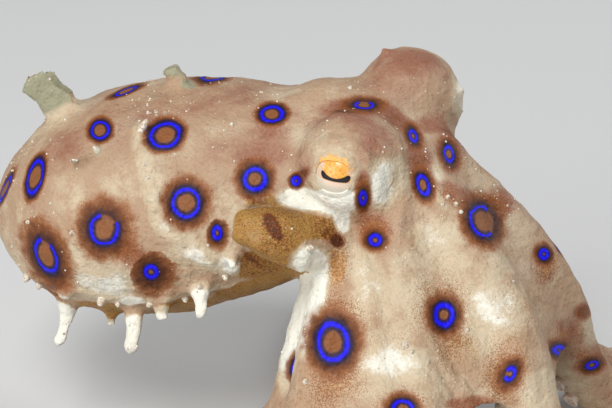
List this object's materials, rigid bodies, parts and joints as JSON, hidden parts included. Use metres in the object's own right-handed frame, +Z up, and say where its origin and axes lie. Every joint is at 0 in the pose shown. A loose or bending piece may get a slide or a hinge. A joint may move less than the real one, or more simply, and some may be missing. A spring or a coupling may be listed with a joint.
{
  "type": "blue ringed octopus",
  "caption": "Life-size still model of a blue-ringed octopus standing on curled arms, mantle held out behind, funnel bent to its right.",
  "frame": {"origin": "on the floor below the middle of the animal's bounding box", "axes": "+X the way the animal faces, +Z up, the animal's right side towards -Y"},
  "size_m": [0.1258, 0.1282, 0.0551],
  "materials": {
    "head_skin": "soft wet skin, cream to tan with ringed markings",
    "mantle_skin": "soft wet skin, cream to tan with ringed markings",
    "arm_skin": "soft wet skin, ivory and tan with ringed markings",
    "funnel_skin": "soft wet skin, ochre with fine brown stipple",
    "eye": "wet glossy eye with an orange iris and a black slit",
    "mouth": "soft wet lip"
  },
  "bodies": {
    "root": {"head": "head_skin", "eye_right": "eye", "eye_left": "eye", "mantle": "mantle_skin", "funnel": "funnel_skin", "mouth": "mouth", "arm_R1_base": "arm_skin", "arm_R1_middle": "arm_skin", "arm_R1_tip": "arm_skin", "arm_R2_base": "arm_skin", "arm_R2_middle": "arm_skin", "arm_R2_tip": "arm_skin", "arm_R3_base": "arm_skin", "arm_R3_middle": "arm_skin", "arm_R3_tip": "arm_skin", "arm_R4_base": "arm_skin", "arm_R4_middle": "arm_skin", "arm_R4_tip": "arm_skin", "arm_L1_base": "arm_skin", "arm_L1_middle": "arm_skin", "arm_L1_tip": "arm_skin", "arm_L2_base": "arm_skin", "arm_L2_middle": "arm_skin", "arm_L2_tip": "arm_skin", "arm_L3_base": "arm_skin", "arm_L3_middle": "arm_skin", "arm_L3_tip": "arm_skin", "arm_L4_base": "arm_skin", "arm_L4_middle": "arm_skin", "arm_L4_tip": "arm_skin"}
  },
  "joints": []
}
